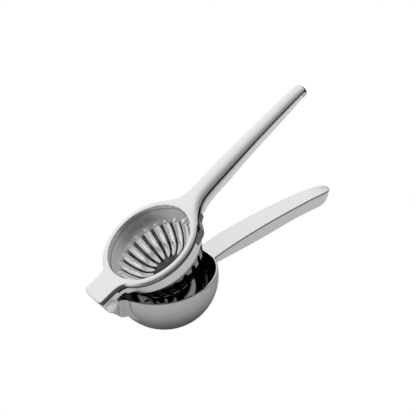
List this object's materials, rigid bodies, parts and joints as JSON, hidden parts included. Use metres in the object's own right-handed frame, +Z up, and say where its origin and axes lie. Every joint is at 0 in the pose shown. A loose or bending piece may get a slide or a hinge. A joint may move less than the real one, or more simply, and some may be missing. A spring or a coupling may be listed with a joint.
{
  "type": "hinged lemon squeezer",
  "caption": "Hinged steel lemon squeezer: a fluted press cup on the upper lever swings down into a slotted bowl on the lower lever to press out the juice.",
  "frame": {"origin": "centre of the flat base under the bowl", "axes": "+Z up along the axis of the bowl, +X from the bowl towards the ends of the two handles, the hinge pin lies along Y"},
  "size_m": [0.1993, 0.0748, 0.1341],
  "materials": {
    "polished_steel": "polished",
    "satin_steel": "satin",
    "spring_steel": "satin",
    "bush_bronze": "satin"
  },
  "bodies": {
    "lower_arm": {"bowl": "satin_steel", "hinge_lug": "satin_steel", "hinge_bush": "bush_bronze", "lower_handle_top": "polished_steel", "lower_handle_channel": "satin_steel", "lower_handle_bracket": "satin_steel"},
    "upper_arm": {"press_frame": "polished_steel", "upper_handle_channel": "satin_steel", "handle_bridge": "satin_steel", "press_cup": "polished_steel", "cup_collar": "satin_steel", "hinge_pin": "polished_steel", "hinge_pin_cap": "polished_steel", "spring_washers": "spring_steel"}
  },
  "joints": [
    {"name": "arm_hinge", "type": "hinge", "parent": "lower_arm", "child": "upper_arm", "pos_m": [-0.0477, 0, 0.0397], "axis": [0, -1, 0], "range_deg": [-23.1, 90]}
  ]
}
